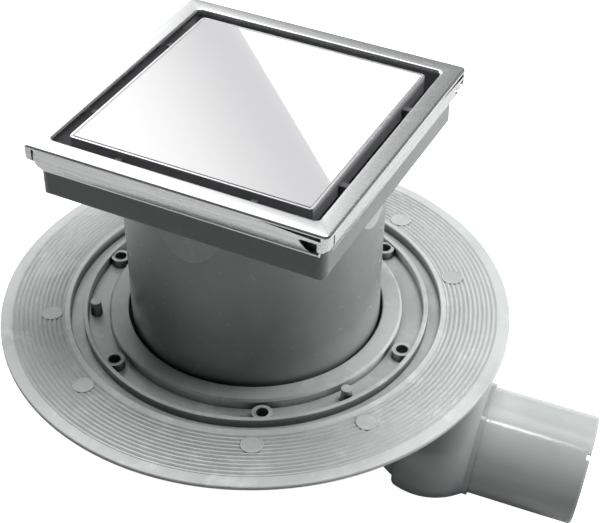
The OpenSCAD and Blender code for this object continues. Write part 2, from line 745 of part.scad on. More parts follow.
module trap_cup() color(PP_DARK) rotate_extrude($fn = fine) polygon([
    [0, cup_floor_z], [cup_r - 6, cup_floor_z], [cup_r - 1.6, cup_floor_z + 1.6],
    [cup_r, cup_floor_z + 6], [cup_r, cup_rim_z - bead_h], [bead_out_r, cup_rim_z - bead_h],
    [bead_out_r, cup_rim_z - edge], [bead_out_r - edge, cup_rim_z], [cup_in_r, cup_rim_z],
    [cup_in_r, cup_floor_z + 7], [cup_in_r - 1.2, cup_floor_top + 1.2],
    [cup_in_r - 5, cup_floor_top], [0, cup_floor_top]]);

// ------------------------------------------------------------ outlet spigot
// Half section of the bell and pipe, as (radius, distance along the pipe)
module spigot_section() {
    collar_from = collar_end - 2.3;
    mouth_r = sqrt(pow(bell_r, 2) - pow(bell_mouth, 2));
    difference() {
        union() {
            intersection() {
                circle(r = bell_r, $fn = fine);
                polygon([[neck_r, -bell_mouth], [mouth_r - 0.6, -bell_mouth],
                         [mouth_r + 0.7, 1.3 - bell_mouth], [bell_d, 1.3 - bell_mouth],
                         [bell_d, collar_from], [pipe_in_r, collar_from], [pipe_in_r, 0]]);
            }
            polygon([[pipe_in_r, collar_from - 1], [collar_r - 1, collar_from - 1],
                     [collar_r, collar_from], [collar_r, collar_end],
                     [pipe_r, collar_end], [pipe_r, pipe_reach - 1],
                     [pipe_r - 0.7, pipe_reach], [pipe_in_r, pipe_reach]]);
        }
        circle(r = bell_in_r, $fn = fine);
    }
}

module outlet_spigot() color(PP_GREY) on_outlet() difference() {
    along_x() rotate_extrude($fn = fine) spigot_section();
    rotate([notch_angle, 0, 0])
        translate([pipe_reach - notch_depth, -notch_w / 2, pipe_in_r - cut])
            cube([notch_depth + cut, notch_w, pipe_wall + 2 * cut]);
}

module ball_seal() color(RUBBER) on_branch() along_x()
    rotate_extrude($fn = fine) translate([ball_ring_r, 0]) circle(d = ball_ring_d, $fn = small);

drain_body();
outlet_branch();
seal_retainer();
stem_seal();
extension_piece();
steel_frame();
slot_liner();
tile_tray();
tile_insert();
tray_spacers();
hair_strainer();
trap_funnel();
dip_tube();
trap_o_ring();
trap_cup();
outlet_spigot();
ball_seal();
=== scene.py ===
# Floor gully trap: grey moulded drain with a wide bonding flange, a telescopic head with a
# stainless frame and a tile tray, and an outlet pipe on a ball joint.
import json
import math

import bmesh
import bpy
from mathutils import Matrix, Vector


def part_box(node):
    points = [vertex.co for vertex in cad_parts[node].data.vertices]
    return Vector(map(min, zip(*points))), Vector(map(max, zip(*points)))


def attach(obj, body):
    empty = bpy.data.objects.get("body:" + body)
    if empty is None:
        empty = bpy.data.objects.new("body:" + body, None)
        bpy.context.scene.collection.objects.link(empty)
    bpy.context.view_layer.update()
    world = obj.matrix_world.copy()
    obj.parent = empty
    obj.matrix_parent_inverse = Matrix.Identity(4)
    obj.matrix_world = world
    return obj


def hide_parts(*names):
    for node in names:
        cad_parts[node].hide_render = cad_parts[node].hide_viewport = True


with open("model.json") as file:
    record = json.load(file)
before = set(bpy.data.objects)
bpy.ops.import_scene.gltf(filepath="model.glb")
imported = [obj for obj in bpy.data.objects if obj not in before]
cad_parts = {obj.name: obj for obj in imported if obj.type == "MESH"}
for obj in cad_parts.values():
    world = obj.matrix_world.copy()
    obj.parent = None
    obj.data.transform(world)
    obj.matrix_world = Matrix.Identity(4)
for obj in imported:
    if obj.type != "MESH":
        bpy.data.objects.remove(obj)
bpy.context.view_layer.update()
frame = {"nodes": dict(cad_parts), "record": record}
nodes = frame["nodes"]
record = frame["record"]
bodyOf = {node: body for body, members in record["behaviour"]["bodies"].items()
          for node in members}
slotOf = {part["node"]: part["material_slot"] for part in record["subparts"]}
print("frame:", len(nodes), "nodes")


# small helpers for shader trees; a value is a number, a colour or another node's output
def setOrLink(tree, socket, value):
    if isinstance(value, bpy.types.NodeSocket):
        tree.links.new(value, socket)
    else:
        socket.default_value = value


def addNoise(tree, vector, scale, detail, rough):
    node = tree.nodes.new("ShaderNodeTexNoise")
    node.inputs["Detail"].default_value = detail
    node.inputs["Roughness"].default_value = rough
    setOrLink(tree, node.inputs["Scale"], scale)
    tree.links.new(vector, node.inputs["Vector"])
    return node.outputs["Fac"]


def addMath(tree, operation, first, second=0.0, third=0.0, clamp=False):
    node = tree.nodes.new("ShaderNodeMath")
    node.operation = operation
    node.use_clamp = clamp
    for socket, value in zip(node.inputs, (first, second, third)):
        setOrLink(tree, socket, value)
    return node.outputs[0]


def addRange(tree, value, low, high, toLow=0.0, toHigh=1.0):
    node = tree.nodes.new("ShaderNodeMapRange")
    node.interpolation_type = "SMOOTHSTEP"
    for label, number in (("Value", value), ("From Min", low), ("From Max", high),
                          ("To Min", toLow), ("To Max", toHigh)):
        setOrLink(tree, node.inputs[label], number)
    return node.outputs["Result"]


def addMix(tree, factor, first, second):
    node = tree.nodes.new("ShaderNodeMix")
    node.data_type = "RGBA"
    for label, value in (("Factor", factor), ("A", first), ("B", second)):
        setOrLink(tree, [s for s in node.inputs if s.name == label and s.enabled][0], value)
    return [s for s in node.outputs if s.enabled][0]


def addScaledCoords(tree, vector, scale, turn=0.0):
    node = tree.nodes.new("ShaderNodeMapping")
    node.inputs["Scale"].default_value = scale
    node.inputs["Rotation"].default_value = (0, 0, turn)
    tree.links.new(vector, node.inputs["Vector"])
    return node.outputs["Vector"]


def addDot(tree, vector, direction):
    node = tree.nodes.new("ShaderNodeVectorMath")
    node.operation = "DOT_PRODUCT"
    setOrLink(tree, node.inputs[0], vector)
    setOrLink(tree, node.inputs[1], direction)
    return node.outputs["Value"]


def splitVector(tree, vector):
    node = tree.nodes.new("ShaderNodeSeparateXYZ")
    tree.links.new(vector, node.inputs[0])
    return node.outputs


def newGroup(name, inputs, outputs):
    group = bpy.data.node_groups.new(name, "ShaderNodeTree")
    for label, kind, value in inputs:
        socket = group.interface.new_socket(label, in_out="INPUT", socket_type="NodeSocket" + kind)
        socket.default_value = value
    for label, kind in outputs:
        group.interface.new_socket(label, in_out="OUTPUT", socket_type="NodeSocket" + kind)
    return group, group.nodes.new("NodeGroupInput"), group.nodes.new("NodeGroupOutput")


# the patterns that every moulded piece shares; each material sets the rest by the group's inputs
mouldedLook = {"rubStretch": (300, 90, 300), "rubTurn": 0.6, "rubRange": (0.5, 0.8),
               "flowRange": (0.3, 0.75), "hazeScale": 46.0, "hazeRange": (0.52, 0.68),
               "scuffRough": 0.5, "hazeRough": 0.12, "rubHeight": 0.25}


def mouldedGroup():
    # satin moulded plastic: slow flow shading, spark-eroded grain and faint rub marks
    look = mouldedLook
    group, src, out = newGroup(
        "mouldedSurface",
        [("Vector", "Vector", (0, 0, 0)), ("Colour", "Color", (0.5, 0.5, 0.5, 1)),
         ("Shade Colour", "Color", (0.4, 0.4, 0.4, 1)),
         ("Haze Colour", "Color", (0.6, 0.6, 0.6, 1)), ("Haze Amount", "Float", 0.0),
         ("Flow Scale", "Float", 14.0), ("Grain Scale", "Float", 1400.0),
         ("Rub Amount", "Float", 0.3), ("Roughness", "Float", 0.4)],
        [("Colour", "Color"), ("Roughness", "Float"), ("Height", "Float")])
    where, rubAmount = src.outputs["Vector"], src.outputs["Rub Amount"]
    flow = addRange(group, addNoise(group, where, src.outputs["Flow Scale"], detail=4.0, rough=0.6),
                    *look["flowRange"])
    grain = addNoise(group, where, src.outputs["Grain Scale"], detail=2.0, rough=0.6)
    rubbed = addNoise(group, addScaledCoords(group, where, look["rubStretch"], look["rubTurn"]),
                      scale=1.0, detail=5.0, rough=0.7)
    marks = addRange(group, rubbed, *look["rubRange"])
    shade = addMath(group, "MULTIPLY_ADD", marks, rubAmount, flow, clamp=True)
    toned = addMix(group, shade, src.outputs["Colour"], src.outputs["Shade Colour"])
    # thin pale haze in broken patches, left by handling and dust
    patches = addRange(group, addNoise(group, where, look["hazeScale"], detail=6.0, rough=0.68),
                       *look["hazeRange"])
    haze = addMath(group, "MULTIPLY", patches, src.outputs["Haze Amount"])
    hazed = addMix(group, haze, toned, src.outputs["Haze Colour"])
    scuffs = addMath(group, "MULTIPLY", marks, rubAmount)
    scuffed = addMath(group, "MULTIPLY_ADD", scuffs, look["scuffRough"], src.outputs["Roughness"])
    dulled = addMath(group, "MULTIPLY_ADD", haze, look["hazeRough"], scuffed)
    height = addMath(group, "MULTIPLY_ADD", rubbed, look["rubHeight"], grain)
    for label, value in (("Colour", hazed), ("Roughness", dulled), ("Height", height)):
        group.links.new(value, out.inputs[label])
    return group


brushedLook = {"along": 18, "across": 2400, "down": 900, "lineRange": (0.35, 0.75),
               "smearStretch": (60, 260, 60), "smearTurn": 0.9, "smearRange": (0.52, 0.78),
               "stain": 0.5, "lineRough": 0.14, "smearRough": 0.08}


def brushedGroup():
    # brushed sheet: fine lines run along each side of the square frame and meet at a mitre
    look = brushedLook
    group, src, out = newGroup(
        "brushedSheet",
        [("Vector", "Vector", (0, 0, 0)), ("Colour", "Color", (0.8, 0.8, 0.8, 1)),
         ("Line Colour", "Color", (0.6, 0.6, 0.6, 1)),
         ("Stain Colour", "Color", (0.5, 0.52, 0.52, 1)), ("Roughness", "Float", 0.25)],
        [("Colour", "Color"), ("Roughness", "Float"), ("Height", "Float")])
    where = src.outputs["Vector"]
    farX, farY = (addMath(group, "ABSOLUTE", part) for part in splitVector(group, where)[:2])
    alongY = addMath(group, "GREATER_THAN", farX, farY)
    linesX, linesY = (addNoise(group, addScaledCoords(group, where, stretch), scale=1.0,
                               detail=3.0, rough=0.65)
                      for stretch in ((look["along"], look["across"], look["down"]),
                                      (look["across"], look["along"], look["down"])))
    lines = addMix(group, alongY, linesX, linesY)
    # slanting smears, as left by a wiping cloth and the packing film
    smears = addNoise(group, addScaledCoords(group, where, look["smearStretch"],
                                             look["smearTurn"]), scale=1.0, detail=4.0, rough=0.6)
    smear = addRange(group, smears, *look["smearRange"])
    toned = addMix(group, addRange(group, lines, *look["lineRange"]), src.outputs["Colour"],
                   src.outputs["Line Colour"])
    stained = addMix(group, addMath(group, "MULTIPLY", smear, look["stain"]), toned,
                     src.outputs["Stain Colour"])
    lined = addMath(group, "MULTIPLY_ADD", lines, look["lineRough"], src.outputs["Roughness"])
    rough = addMath(group, "MULTIPLY_ADD", smear, look["smearRough"], lined)
    for label, value in (("Colour", stained), ("Roughness", rough), ("Height", lines)):
        group.links.new(value, out.inputs[label])
    return group


# the last colour is that of the painted shade in the grooves and bores
edgeLook = {"bevelSamples": 6, "edgeRange": (0.99, 0.86), "wearScale": 120.0,
            "wearRange": (0.35, 0.6, 0.45, 1.0), "openSamples": 8, "closedRange": (0.9, 0.3),
            "steepRange": (0.8, 0.3, 0.2, 1.0), "dirtColour": (0.03, 0.032, 0.032, 1)}


def edgeGroup():
    # rounds hard edges in the shading, lightens them as rubbed wear and a painted edge
    # highlight, and darkens the grooves, bores and walls with painted shade
    look = edgeLook
    group, src, out = newGroup(
        "softEdge",
        [("Vector", "Vector", (0, 0, 0)), ("Colour", "Color", (0.5, 0.5, 0.5, 1)),
         ("Edge Colour", "Color", (0.7, 0.7, 0.7, 1)), ("Radius", "Float", 0.0004),
         ("Wear", "Float", 0.5), ("Crevice Reach", "Float", 0.006), ("Crevice", "Float", 0.5)],
        [("Colour", "Color"), ("Normal", "Vector")])
    bevel = group.nodes.new("ShaderNodeBevel")
    bevel.samples = look["bevelSamples"]
    group.links.new(src.outputs["Radius"], bevel.inputs["Radius"])
    surface = group.nodes.new("ShaderNodeNewGeometry").outputs["Normal"]
    edge = addRange(group, addDot(group, bevel.outputs["Normal"], surface), *look["edgeRange"])
    patchy = addRange(group, addNoise(group, src.outputs["Vector"], look["wearScale"],
                                      detail=4.0, rough=0.6), *look["wearRange"])
    # the edges lighten towards the edge colour, partly as rubbed wear and partly as a painted edge
    # highlight
    wornAndHighlit = addMath(group, "MULTIPLY", addMath(group, "MULTIPLY", edge, patchy),
                   src.outputs["Wear"])
    rubbed = addMix(group, wornAndHighlit, src.outputs["Colour"], src.outputs["Edge Colour"])
    # painted shade: ambient occlusion darkens the grooves, bores and other crevices
    occlusion = group.nodes.new("ShaderNodeAmbientOcclusion")
    occlusion.samples = look["openSamples"]
    group.links.new(src.outputs["Crevice Reach"], occlusion.inputs["Distance"])
    closed = addRange(group, occlusion.outputs["AO"], *look["closedRange"])
    # walls get more of the painted shade than level faces
    upward = addMath(group, "ABSOLUTE", splitVector(group, surface)[2])
    steep = addRange(group, upward, *look["steepRange"])
    paintedShade = addMath(group, "MULTIPLY", addMath(group, "MULTIPLY", closed, steep),
                   src.outputs["Crevice"])
    group.links.new(addMix(group, paintedShade, rubbed, look["dirtColour"]), out.inputs["Colour"])
    group.links.new(bevel.outputs["Normal"], out.inputs["Normal"])
    return group


shaderGroups = {"moulded": mouldedGroup(), "brushed": brushedGroup(), "edge": edgeGroup()}


def placeGroup(tree, surface, values, where):
    node = tree.nodes.new("ShaderNodeGroup")
    node.node_tree = shaderGroups[surface]
    for label, value in values.items():
        node.inputs[label].default_value = value
    tree.links.new(where, node.inputs["Vector"])
    return node


def makeMaterial(name, surface, values, edge=None, bumpStrength=0.1, bumpDistance=0.0002,
                 fixed=None):
    # values go to the surface group, edge to the edge group and fixed to the shader's own sockets
    material = bpy.data.materials.new(name)
    material.use_nodes = True
    tree = material.node_tree
    shader = tree.nodes["Principled BSDF"]
    for label, value in (fixed or {}).items():
        shader.inputs[label].default_value = value
    where = tree.nodes.new("ShaderNodeTexCoord").outputs["Object"]
    effect = placeGroup(tree, surface, values, where)
    colour = effect.outputs["Colour"]
    bump = tree.nodes.new("ShaderNodeBump")
    bump.inputs["Strength"].default_value = bumpStrength
    bump.inputs["Distance"].default_value = bumpDistance
    tree.links.new(effect.outputs["Height"], bump.inputs["Height"])
    if edge:
        rounded = placeGroup(tree, "edge", edge, where)
        tree.links.new(colour, rounded.inputs["Colour"])
        tree.links.new(rounded.outputs["Normal"], bump.inputs["Normal"])
        colour = rounded.outputs["Colour"]
    tree.links.new(colour, shader.inputs["Base Color"])
    if values.get("Rub Amount", 1.0) > 0.0:
        tree.links.new(effect.outputs["Roughness"], shader.inputs["Roughness"])
    else:
        shader.inputs["Roughness"].default_value = values["Roughness"]  # the same all over
    tree.links.new(bump.outputs["Normal"], shader.inputs["Normal"])
    return material


drainGrey = makeMaterial(
    "drainGrey", "moulded",
    {"Colour": (0.65, 0.675, 0.665, 1), "Shade Colour": (0.52, 0.55, 0.54, 1),
     "Haze Colour": (0.84, 0.85, 0.845, 1), "Haze Amount": 0.5, "Flow Scale": 24.0,
     "Rub Amount": 0.4, "Roughness": 0.3},
    edge={"Edge Colour": (0.74, 0.76, 0.75, 1), "Radius": 0.0004, "Wear": 0.5,
          "Crevice Reach": 0.007, "Crevice": 0.95},
    bumpStrength=0.08, fixed={"Specular IOR Level": 0.5})
headGrey = makeMaterial(
    "headGrey", "moulded",
    {"Colour": (0.335, 0.355, 0.345, 1), "Shade Colour": (0.265, 0.285, 0.275, 1),
     "Haze Colour": (0.40, 0.42, 0.41, 1), "Haze Amount": 0.04, "Flow Scale": 20.0,
     "Rub Amount": 0.1, "Roughness": 0.25},
    edge={"Edge Colour": (0.50, 0.52, 0.51, 1), "Radius": 0.0006, "Wear": 0.4},
    bumpStrength=0.08, fixed={"Specular IOR Level": 0.85})
# a darker copy of the head grey: painted shade on the sides of the box
boxPaintedShadeGrey = makeMaterial(
    "boxPaintedShadeGrey", "moulded",
    {"Colour": (0.285, 0.302, 0.294, 1), "Shade Colour": (0.235, 0.252, 0.244, 1),
     "Haze Colour": (0.36, 0.38, 0.37, 1), "Haze Amount": 0.04, "Flow Scale": 20.0,
     "Rub Amount": 0.1, "Roughness": 0.25},
    edge={"Edge Colour": (0.42, 0.44, 0.43, 1), "Radius": 0.0006, "Wear": 0.4},
    bumpStrength=0.08, fixed={"Specular IOR Level": 0.4})
outletGrey = makeMaterial(
    "outletGrey", "moulded",
    {"Colour": (0.55, 0.577, 0.567, 1), "Shade Colour": (0.47, 0.50, 0.49, 1),
     "Haze Colour": (0.70, 0.71, 0.705, 1), "Haze Amount": 0.12, "Flow Scale": 24.0,
     "Rub Amount": 0.1, "Roughness": 0.13},
    edge={"Edge Colour": (0.72, 0.74, 0.73, 1), "Radius": 0.0004, "Wear": 0.4},
    bumpStrength=0.04, fixed={"Specular IOR Level": 0.5})
# a darker copy of the drain grey: painted shade that holds down the light on the level disc tops
discPaintedShadeGrey = makeMaterial(
    "discPaintedShadeGrey", "moulded",
    {"Colour": (0.56, 0.585, 0.575, 1), "Shade Colour": (0.47, 0.495, 0.485, 1),
     "Haze Colour": (0.74, 0.75, 0.745, 1), "Haze Amount": 0.6, "Flow Scale": 90.0,
     "Roughness": 0.3},
    bumpStrength=0.12, fixed={"Specular IOR Level": 0.5})
# a lighter copy of the head grey: painted light on the slanting flats of the stem
facetPaintedLightGrey = makeMaterial(
    "facetPaintedLightGrey", "moulded",
    {"Colour": (0.60, 0.625, 0.615, 1), "Shade Colour": (0.54, 0.56, 0.55, 1),
     "Haze Colour": (0.66, 0.68, 0.67, 1), "Haze Amount": 0.2, "Flow Scale": 20.0,
     "Roughness": 0.25},
    bumpStrength=0.08, fixed={"Specular IOR Level": 0.85})
linerCharcoal = makeMaterial(
    "linerCharcoal", "moulded",
    {"Colour": (0.42, 0.42, 0.44, 1), "Shade Colour": (0.38, 0.38, 0.40, 1),
     "Rub Amount": 0.5, "Roughness": 0.6})
# painted shade: the slot tabs are darkened so that their lit tops sink into the shade of the slot
spacerPaintedShade = makeMaterial(
    "spacerPaintedShade", "moulded",
    {"Colour": (0.12, 0.12, 0.127, 1), "Shade Colour": (0.10, 0.10, 0.105, 1), "Roughness": 0.6})
trapPlastic = makeMaterial(
    "trapPlastic", "moulded",
    {"Colour": (0.075, 0.08, 0.08, 1), "Shade Colour": (0.055, 0.06, 0.06, 1),
     "Roughness": 0.38},
    edge={"Edge Colour": (0.15, 0.155, 0.155, 1), "Radius": 0.0004, "Wear": 0.4},
    bumpStrength=0.08)
blackRubber = makeMaterial(
    "blackRubber", "moulded",
    {"Colour": (0.024, 0.024, 0.025, 1), "Shade Colour": (0.04, 0.039, 0.038, 1),
     "Flow Scale": 40.0, "Grain Scale": 2200.0, "Roughness": 0.55},
    bumpStrength=0.15)
brushedSteel = makeMaterial(
    "brushedSteel", "brushed",
    {"Colour": (0.76, 0.765, 0.76, 1), "Line Colour": (0.60, 0.61, 0.605, 1),
     "Stain Colour": (0.55, 0.575, 0.57, 1), "Roughness": 0.2},
    edge={"Edge Colour": (0.93, 0.93, 0.93, 1), "Radius": 0.00025, "Wear": 0.6},
    bumpStrength=0.12, bumpDistance=0.00005, fixed={"Metallic": 1.0})
glazedTile = makeMaterial(
    "glazedTile", "moulded",
    {"Colour": (0.86, 0.845, 0.86, 1), "Shade Colour": (0.84, 0.825, 0.842, 1),
     "Flow Scale": 8.0, "Rub Amount": 0.0, "Roughness": 0.08},
    edge={"Edge Colour": (0.90, 0.89, 0.90, 1), "Radius": 0.0003, "Wear": 0.3},
    bumpStrength=0.0, fixed={"Coat Weight": 1.0, "Coat Roughness": 0.01, "Coat IOR": 1.7})
finishOf = {"moulding": drainGrey, "head_moulding": headGrey, "inner_plastic": trapPlastic,
            "steel": brushedSteel, "tile": glazedTile, "seal_rubber": blackRubber}
# nodes with a finish that differs from the rest of their slot
ownFinish = {"slot_liner": linerCharcoal, "tray_spacers": spacerPaintedShade,
             "outlet_spigot": outletGrey}
print("materials:", len(bpy.data.materials))


def pickFinish(node):
    return ownFinish.get(node, finishOf[slotOf[node]])


def addPiece(name, mesh, node, replaces=True):
    # a piece takes its body, and its finish by way of its slot, from the node that it stands for or
    # sits on
    piece = bpy.data.objects.new(name, mesh)
    bpy.context.scene.collection.objects.link(piece)
    if not mesh.materials:
        mesh.materials.append(pickFinish(node))
    if replaces:
        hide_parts(node)
    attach(piece, bodyOf[node])
    return piece


seamGap = 1e-6  # points and edges shorter than this are closed up
# the gap over which a skin's points are merged, and the angle past which its edges stay sharp
skin = {"merge": 2e-6, "angle": 28, "angles": {"extension_piece": 7, "drain_body": 20}}


def smoothCopy(node):
    # a merged and smooth-shaded copy of a node's loose triangles
    mesh = nodes[node].data.copy()
    mesh.name = node + "Skin"
    mesh.materials.clear()
    work = bmesh.new()
    work.from_mesh(mesh)
    bmesh.ops.remove_doubles(work, verts=work.verts, dist=skin["merge"])
    bmesh.ops.dissolve_degenerate(work, edges=work.edges, dist=seamGap)
    for face in work.faces:
        face.smooth = True
    work.to_mesh(mesh)
    work.free()
    if mesh.attributes.get("custom_normal"):
        mesh.attributes.remove(mesh.attributes["custom_normal"])
    mesh.set_sharp_from_angle(angle=math.radians(skin["angles"].get(node, skin["angle"])))
    return mesh


# helpers for the Geometry Nodes trees
def newTree(name, inputs):
    tree = bpy.data.node_groups.new(name, "GeometryNodeTree")
    tree.interface.new_socket("Geometry", in_out="OUTPUT", socket_type="NodeSocketGeometry")
    tree.interface.new_socket("Geometry", in_out="INPUT", socket_type="NodeSocketGeometry")
    for label, kind, value in inputs + [("Material", "Material", None)]:
        socket = tree.interface.new_socket(label, in_out="INPUT", socket_type="NodeSocket" + kind)
        if value is not None:
            socket.default_value = value
    return tree, tree.nodes.new("NodeGroupInput").outputs, tree.nodes.new("NodeGroupOutput")


def addNode(tree, kind, settings=None, **values):
    # values are inputs by name, with spaces left out
    node = tree.nodes.new(kind)
    for label, value in (settings or {}).items():
        setattr(node, label, value)
    for label, value in values.items():
        sockets = [s for s in node.inputs if s.name.replace(" ", "") == label and s.enabled]
        setOrLink(tree, sockets[0], value)
    return node.outputs[0]


# how many sides the round shapes have
sides = {"groove": 180, "lip": 28, "seal": 144, "sealSection": 24, "flash": 6, "bead": 8,
         "grout": 10, "tabCorner": 5, "groutCorner": 8}


def addCircle(tree, resolution, radius):
    return addNode(tree, "GeometryNodeCurvePrimitiveCircle", Resolution=resolution, Radius=radius)


def joinParts(tree, first, second):
    node = tree.nodes.new("GeometryNodeJoinGeometry")
    for part in (first, second):
        tree.links.new(part, node.inputs[0])
    return node.outputs[0]


def addFlatBead(tree, curve, width, rise):
    # a bead of oval section along a level curve
    shape = addNode(tree, "ShaderNodeCombineXYZ", X=width, Y=rise, Z=1.0)
    section = addNode(tree, "GeometryNodeTransform", Geometry=addCircle(tree, sides["bead"], 0.5),
                      Scale=shape)
    upright = addNode(tree, "GeometryNodeSetCurveNormal", {"mode": "Z_UP"}, Curve=curve)
    return addNode(tree, "GeometryNodeCurveToMesh", Curve=upright, ProfileCurve=section)


def endTree(tree, out, geometry, material, smooth=True):
    # every tree ends in plain geometry that carries its material
    plain = addNode(tree, "GeometryNodeRealizeInstances", Geometry=geometry)
    if smooth:
        plain = addNode(tree, "GeometryNodeSetShadeSmooth", Geometry=plain)
    made = addNode(tree, "GeometryNodeSetMaterial", Geometry=plain, Material=material)
    tree.links.new(made, out.inputs["Geometry"])
    return tree


def ringStackTree():
    # concentric beads, each a little smaller than the one outside it
    tree, src, out = newTree("ringStack", [
        ("Rings", "Int", 8), ("Outer Radius", "Float", 0.1), ("Pitch", "Float", 0.002),
        ("Height", "Float", 0.0), ("Bead Width", "Float", 0.0005), ("Bead Rise", "Float", 0.0001)])
    rows = addNode(tree, "GeometryNodeMeshLine", Count=src["Rings"])
    level = addNode(tree, "ShaderNodeCombineXYZ", Z=src["Height"])
    flat = addNode(tree, "GeometryNodeSetPosition", Geometry=rows, Position=level)
    index = addNode(tree, "GeometryNodeInputIndex")
    radius = addMath(tree, "SUBTRACT", src["Outer Radius"],
                     addMath(tree, "MULTIPLY", index, src["Pitch"]))
    size = addNode(tree, "ShaderNodeCombineXYZ", X=radius, Y=radius, Z=1.0)
    rings = addNode(tree, "GeometryNodeInstanceOnPoints", Points=flat,
                    Instance=addCircle(tree, sides["groove"], 1.0), Scale=size)
    real = addNode(tree, "GeometryNodeRealizeInstances", Geometry=rings)
    beads = addFlatBead(tree, real, src["Bead Width"], src["Bead Rise"])
    return endTree(tree, out, beads, src["Material"])


def ringOnPointsTree():
    # one small round lip at each point of the mesh that the tree is put on
    tree, src, out = newTree("ringOnPoints", [
        ("Radius", "Float", 0.003), ("Bead Width", "Float", 0.0006),
        ("Bead Rise", "Float", 0.0003)])
    lip = addFlatBead(tree, addCircle(tree, sides["lip"], src["Radius"]), src["Bead Width"],
                      src["Bead Rise"])
    lips = addNode(tree, "GeometryNodeInstanceOnPoints", Points=src["Geometry"], Instance=lip)
    return endTree(tree, out, lips, src["Material"])


def sealRingTree():
    # a round rubber ring with the thin flash line that its mould leaves on the outside
    tree, src, out = newTree("sealRing", [
        ("Ring Radius", "Float", 0.03), ("Section", "Float", 0.002), ("Flash", "Float", 0.00012),
        ("Centre", "Vector", (0, 0, 0)), ("Turn", "Vector", (0, 0, 0))])
    reach = addMath(tree, "ADD", src["Ring Radius"], src["Section"])
    rim = addMath(tree, "SUBTRACT", reach, src["Flash"])
    ring, flash = (addNode(tree, "GeometryNodeCurveToMesh",
                           Curve=addCircle(tree, sides["seal"], radius),
                           ProfileCurve=addCircle(tree, sides[part], section))
                   for part, radius, section in (
                       ("sealSection", src["Ring Radius"], src["Section"]),
                       ("flash", rim, src["Flash"])))
    placed = addNode(tree, "GeometryNodeTransform", Geometry=joinParts(tree, flash, ring),
                     Translation=src["Centre"], Rotation=src["Turn"])
    return endTree(tree, out, placed, src["Material"])


def slotTabTree():
    # a rounded tab across the slot at each point, turned to face out from the middle
    tree, src, out = newTree("slotTab", [
        ("Length", "Float", 0.005), ("Width", "Float", 0.003), ("Depth", "Float", 0.004),
        ("Corner", "Float", 0.0008)])
    outline = addNode(tree, "GeometryNodeCurvePrimitiveQuadrilateral", Width=src["Length"],
                      Height=src["Width"])
    rounded = addNode(tree, "GeometryNodeFilletCurve", {"mode": "POLY"}, Curve=outline,
                      Count=sides["tabCorner"], Radius=src["Corner"])
    base = addNode(tree, "GeometryNodeFillCurve", {"mode": "NGONS"}, Curve=rounded)
    down = addNode(tree, "ShaderNodeCombineXYZ",
                   Z=addMath(tree, "MULTIPLY", src["Depth"], -1.0))
    sunk = addNode(tree, "GeometryNodeExtrudeMesh", {"mode": "FACES"}, Mesh=base,
                   Offset=down, OffsetScale=1.0, Individual=False)
    walls = addNode(tree, "GeometryNodeFlipFaces", Mesh=sunk)
    tab = addNode(tree, "GeometryNodeMergeByDistance", Geometry=joinParts(tree, base, walls),
                  Distance=seamGap)
    # the larger of the two coordinates tells which side of the square the point is on
    place = addNode(tree, "GeometryNodeInputPosition")
    wide, deep = (addMath(tree, "ABSOLUTE", part) for part in splitVector(tree, place)[:2])
    turned = addMath(tree, "MULTIPLY", addMath(tree, "GREATER_THAN", deep, wide), math.pi / 2)
    turn = addNode(tree, "ShaderNodeCombineXYZ", Z=turned)
    tabs = addNode(tree, "GeometryNodeInstanceOnPoints", Points=src["Geometry"],
                   Instance=tab, Rotation=turn)
    return endTree(tree, out, tabs, src["Material"], smooth=False)


def squareBeadTree():
    # a thin round bead that runs round a square with rounded corners
    tree, src, out = newTree("squareBead", [
        ("Side", "Float", 0.1), ("Corner", "Float", 0.001), ("Bead Radius", "Float", 0.0002),
        ("Height", "Float", 0.0)])
    square = addNode(tree, "GeometryNodeCurvePrimitiveQuadrilateral", Width=src["Side"],
                     Height=src["Side"])
    path = addNode(tree, "GeometryNodeFilletCurve", {"mode": "POLY"}, Curve=square,
                   Count=sides["groutCorner"], Radius=src["Corner"])
    bead = addNode(tree, "GeometryNodeCurveToMesh", Curve=path,
                   ProfileCurve=addCircle(tree, sides["grout"], src["Bead Radius"]))
    level = addNode(tree, "ShaderNodeCombineXYZ", Z=src["Height"])
    placed = addNode(tree, "GeometryNodeTransform", Geometry=bead, Translation=level)
    return endTree(tree, out, placed, src["Material"])


trees = {"ringStack": ringStackTree(), "ringOnPoints": ringOnPointsTree(),
         "sealRing": sealRingTree(), "slotTab": slotTabTree(), "squareBead": squareBeadTree()}


def growPiece(name, tree, values, node, points=(), replaces=False):
    # runs a tree on a mesh of loose points and keeps the result as a plain mesh
    base = bpy.data.meshes.new(name + "Points")
    base.from_pydata(list(points), [], [])
    holder = bpy.data.objects.new(name + "Holder", base)
    bpy.context.scene.collection.objects.link(holder)
    modifier = holder.modifiers.new("build", "NODES")
    modifier.node_group = trees[tree]
    settings = dict(values, Material=pickFinish(node))
    for item in trees[tree].interface.items_tree:
        if item.item_type == "SOCKET" and item.in_out == "INPUT" and item.name in settings:
            modifier[item.identifier] = settings[item.name]
    made = holder.evaluated_get(bpy.context.evaluated_depsgraph_get())
    mesh = bpy.data.meshes.new_from_object(made)
    mesh.name = name
    holder.modifiers.remove(modifier)
    bpy.data.objects.remove(holder)
    bpy.data.meshes.remove(base)
    return addPiece(name, mesh, node, replaces)


def onCircle(radius, angles, height):
    return [(radius * math.cos(math.radians(a)), radius * math.sin(math.radians(a)), height)
            for a in angles]


